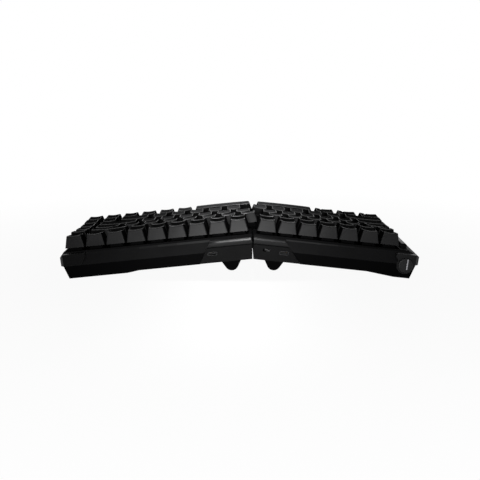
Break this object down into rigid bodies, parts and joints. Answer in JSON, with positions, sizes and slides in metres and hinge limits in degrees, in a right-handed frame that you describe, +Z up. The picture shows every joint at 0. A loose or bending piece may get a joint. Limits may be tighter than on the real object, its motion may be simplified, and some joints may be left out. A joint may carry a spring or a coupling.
{
  "type": "ergonomic split keyboard",
  "caption": "Black split keyboard in two tented halves with a stepped split line, tall sculpted keycaps, flip-out legs, rear ports and a corner control knob.",
  "frame": {"origin": "on the desk, below the middle of the keyboard's overall box, with the legs out and the halves together", "axes": "+X to the user's right along both halves, +Y towards the rear, +Z up"},
  "size_m": [0.3298, 0.1318, 0.0556],
  "materials": {
    "case_plastic": "fine textured black",
    "trim_plastic": "satin black",
    "key_plastic": "fine satin black",
    "leg_plastic": "satin black",
    "switch_plastic": "satin dark grey",
    "knob_plastic": "semi gloss black",
    "plate_metal": "black anodised",
    "board": "green solder resist",
    "battery_wrap": "grey film",
    "steel": "plain",
    "bar_metal": "polished",
    "rubber": "matt"
  },
  "bodies": {
    "left_half": {"left_bottom_case": "case_plastic", "left_top_case": "case_plastic", "left_port_panel": "trim_plastic", "left_corner_cap": "trim_plastic", "left_switch_plate": "plate_metal", "left_switches": "switch_plastic", "left_key_guides": "switch_plastic", "left_circuit_board": "board", "left_battery": "battery_wrap", "left_port_board": "board", "left_usb_socket": "steel", "left_case_screws": "steel", "left_leg_pins": "steel", "left_feet": "rubber", "side_rail": "trim_plastic", "knob_encoder": "switch_plastic"},
    "right_half": {"right_bottom_case": "case_plastic", "right_top_case": "case_plastic", "right_port_panel": "trim_plastic", "right_corner_cap": "trim_plastic", "right_switch_plate": "plate_metal", "right_switches": "switch_plastic", "right_key_guides": "switch_plastic", "right_circuit_board": "board", "right_battery": "battery_wrap", "right_port_board": "board", "right_usb_socket": "steel", "right_case_screws": "steel", "right_leg_pins": "steel", "right_feet": "rubber"},
    "left_function_keys": {"left_function_keys": "key_plastic"},
    "left_number_keys": {"left_number_keys": "key_plastic"},
    "tab_key": {"tab_key": "key_plastic"},
    "left_upper_keys": {"left_upper_keys": "key_plastic"},
    "caps_key": {"caps_key": "key_plastic"},
    "left_home_keys": {"left_home_keys": "key_plastic"},
    "left_shift_key": {"left_shift_key": "key_plastic"},
    "left_lower_keys": {"left_lower_keys": "key_plastic"},
    "left_modifier_keys": {"left_modifier_keys": "key_plastic"},
    "left_space_key": {"left_space_key": "key_plastic"},
    "right_function_keys": {"right_function_keys": "key_plastic"},
    "right_number_keys": {"right_number_keys": "key_plastic"},
    "backspace_key": {"backspace_key": "key_plastic"},
    "right_upper_keys": {"right_upper_keys": "key_plastic"},
    "backslash_key": {"backslash_key": "key_plastic"},
    "right_home_keys": {"right_home_keys": "key_plastic"},
    "enter_key": {"enter_key": "key_plastic"},
    "right_lower_keys": {"right_lower_keys": "key_plastic"},
    "right_shift_key": {"right_shift_key": "key_plastic"},
    "right_space_key": {"right_space_key": "key_plastic"},
    "right_modifier_keys": {"right_modifier_keys": "key_plastic"},
    "left_rear_leg": {"left_rear_leg": "leg_plastic"},
    "left_front_leg": {"left_front_leg": "leg_plastic"},
    "right_rear_leg": {"right_rear_leg": "leg_plastic"},
    "right_front_leg": {"right_front_leg": "leg_plastic"},
    "knob": {"control_knob": "knob_plastic", "knob_bar": "bar_metal"},
    "slider": {"mode_slider": "trim_plastic"}
  },
  "joints": [
    {"name": "halves_apart", "type": "slide", "parent": "left_half", "child": "right_half", "axis": [1, 0, 0], "range_m": [0, 0.15]},
    {"name": "left_function_keys_press", "type": "slide", "parent": "left_half", "child": "left_function_keys", "axis": [0.109, 0, -0.994], "range_m": [0, 0.0035], "stiffness_N_per_m": 840, "springref_m": -0.0025},
    {"name": "left_number_keys_press", "type": "slide", "parent": "left_half", "child": "left_number_keys", "axis": [0.109, 0, -0.994], "range_m": [0, 0.0035], "stiffness_N_per_m": 840, "springref_m": -0.0025},
    {"name": "tab_key_press", "type": "slide", "parent": "left_half", "child": "tab_key", "axis": [0.109, 0, -0.994], "range_m": [0, 0.0035], "stiffness_N_per_m": 120, "springref_m": -0.0025},
    {"name": "left_upper_keys_press", "type": "slide", "parent": "left_half", "child": "left_upper_keys", "axis": [0.109, 0, -0.994], "range_m": [0, 0.0035], "stiffness_N_per_m": 600, "springref_m": -0.0025},
    {"name": "caps_key_press", "type": "slide", "parent": "left_half", "child": "caps_key", "axis": [0.109, 0, -0.994], "range_m": [0, 0.0035], "stiffness_N_per_m": 120, "springref_m": -0.0025},
    {"name": "left_home_keys_press", "type": "slide", "parent": "left_half", "child": "left_home_keys", "axis": [0.109, 0, -0.994], "range_m": [0, 0.0035], "stiffness_N_per_m": 600, "springref_m": -0.0025},
    {"name": "left_shift_key_press", "type": "slide", "parent": "left_half", "child": "left_shift_key", "axis": [0.109, 0, -0.994], "range_m": [0, 0.0035], "stiffness_N_per_m": 120, "springref_m": -0.0025},
    {"name": "left_lower_keys_press", "type": "slide", "parent": "left_half", "child": "left_lower_keys", "axis": [0.109, 0, -0.994], "range_m": [0, 0.0035], "stiffness_N_per_m": 600, "springref_m": -0.0025},
    {"name": "left_modifier_keys_press", "type": "slide", "parent": "left_half", "child": "left_modifier_keys", "axis": [0.109, 0, -0.994], "range_m": [0, 0.0035], "stiffness_N_per_m": 360, "springref_m": -0.0025},
    {"name": "left_space_key_press", "type": "slide", "parent": "left_half", "child": "left_space_key", "axis": [0.109, 0, -0.994], "range_m": [0, 0.0035], "stiffness_N_per_m": 120, "springref_m": -0.0025},
    {"name": "right_function_keys_press", "type": "slide", "parent": "right_half", "child": "right_function_keys", "axis": [-0.1005, 0, -0.9949], "range_m": [0, 0.0035], "stiffness_N_per_m": 1080, "springref_m": -0.0025},
    {"name": "right_number_keys_press", "type": "slide", "parent": "right_half", "child": "right_number_keys", "axis": [-0.1005, 0, -0.9949], "range_m": [0, 0.0035], "stiffness_N_per_m": 840, "springref_m": -0.0025},
    {"name": "backspace_key_press", "type": "slide", "parent": "right_half", "child": "backspace_key", "axis": [-0.1005, 0, -0.9949], "range_m": [0, 0.0035], "stiffness_N_per_m": 120, "springref_m": -0.0025},
    {"name": "right_upper_keys_press", "type": "slide", "parent": "right_half", "child": "right_upper_keys", "axis": [-0.1005, 0, -0.9949], "range_m": [0, 0.0035], "stiffness_N_per_m": 960, "springref_m": -0.0025},
    {"name": "backslash_key_press", "type": "slide", "parent": "right_half", "child": "backslash_key", "axis": [-0.1005, 0, -0.9949], "range_m": [0, 0.0035], "stiffness_N_per_m": 120, "springref_m": -0.0025},
    {"name": "right_home_keys_press", "type": "slide", "parent": "right_half", "child": "right_home_keys", "axis": [-0.1005, 0, -0.9949], "range_m": [0, 0.0035], "stiffness_N_per_m": 840, "springref_m": -0.0025},
    {"name": "enter_key_press", "type": "slide", "parent": "right_half", "child": "enter_key", "axis": [-0.1005, 0, -0.9949], "range_m": [0, 0.0035], "stiffness_N_per_m": 120, "springref_m": -0.0025},
    {"name": "right_lower_keys_press", "type": "slide", "parent": "right_half", "child": "right_lower_keys", "axis": [-0.1005, 0, -0.9949], "range_m": [0, 0.0035], "stiffness_N_per_m": 840, "springref_m": -0.0025},
    {"name": "right_shift_key_press", "type": "slide", "parent": "right_half", "child": "right_shift_key", "axis": [-0.1005, 0, -0.9949], "range_m": [0, 0.0035], "stiffness_N_per_m": 120, "springref_m": -0.0025},
    {"name": "right_space_key_press", "type": "slide", "parent": "right_half", "child": "right_space_key", "axis": [-0.1005, 0, -0.9949], "range_m": [0, 0.0035], "stiffness_N_per_m": 120, "springref_m": -0.0025},
    {"name": "right_modifier_keys_press", "type": "slide", "parent": "right_half", "child": "right_modifier_keys", "axis": [-0.1005, 0, -0.9949], "range_m": [0, 0.0035], "stiffness_N_per_m": 720, "springref_m": -0.0025},
    {"name": "left_rear_leg_fold", "type": "hinge", "parent": "left_half", "child": "left_rear_leg", "pos_m": [-0.03435, 0.02815, 0.01923], "axis": [-0.994, 0, -0.109], "range_deg": [0, 90]},
    {"name": "left_front_leg_fold", "type": "hinge", "parent": "left_half", "child": "left_front_leg", "pos_m": [-0.03435, -0.02835, 0.01923], "axis": [-0.994, 0, -0.109], "range_deg": [0, 90]},
    {"name": "right_rear_leg_fold", "type": "hinge", "parent": "right_half", "child": "right_rear_leg", "pos_m": [0.00884, 0.02815, 0.01956], "axis": [-0.9949, 0, 0.1005], "range_deg": [0, 90]},
    {"name": "right_front_leg_fold", "type": "hinge", "parent": "right_half", "child": "right_front_leg", "pos_m": [0.00884, -0.02835, 0.01956], "axis": [-0.9949, 0, 0.1005], "range_deg": [0, 90]},
    {"name": "knob_turn", "type": "hinge", "parent": "left_half", "child": "knob", "pos_m": [-0.15194, 0.06365, 0.01368], "axis": [0, 1, 0], "continuous": true},
    {"name": "slider_move", "type": "slide", "parent": "left_half", "child": "slider", "axis": [0.994, 0, 0.109], "range_m": [0, 0.003]}
  ]
}
